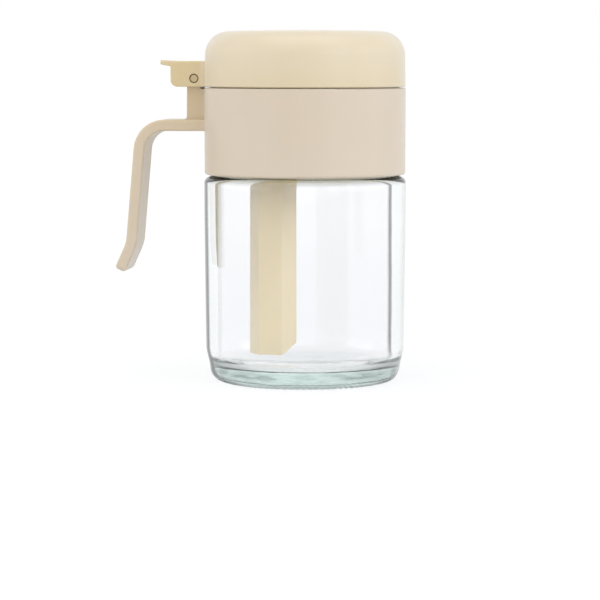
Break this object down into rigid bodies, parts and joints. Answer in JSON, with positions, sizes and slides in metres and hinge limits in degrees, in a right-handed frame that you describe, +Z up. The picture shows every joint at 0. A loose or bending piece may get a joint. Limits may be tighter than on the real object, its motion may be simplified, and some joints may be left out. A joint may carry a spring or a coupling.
{
  "type": "glass seasoning jar with flip lid, handle and hanging spoon",
  "caption": "Round clear glass condiment jar with a cream plastic collar, strap handle, flip lid with thumb lever on a hinge pin, and a trough spoon hanging inside.",
  "frame": {"origin": "on the jar's axis, in the plane of the glass's standing ring", "axes": "+Z up along the jar's axis, -X towards the handle and the hinge, +Y the way that the spoon's trough opens"},
  "size_m": [0.1077, 0.075, 0.13],
  "materials": {
    "clear_glass": "gloss",
    "collar_plastic": "satin",
    "lid_plastic": "satin",
    "pin_plastic": "satin",
    "spoon_plastic": "satin"
  },
  "bodies": {
    "jar": {"glass_jar": "clear_glass", "collar": "collar_plastic", "hinge_pin": "pin_plastic", "spoon": "spoon_plastic"},
    "flip_lid": {"lid": "lid_plastic"}
  },
  "joints": [
    {"name": "lid_hinge", "type": "hinge", "parent": "jar", "child": "flip_lid", "pos_m": [-0.0403, 0, 0.1123], "axis": [0, -1, 0], "range_deg": [0, 90]}
  ]
}
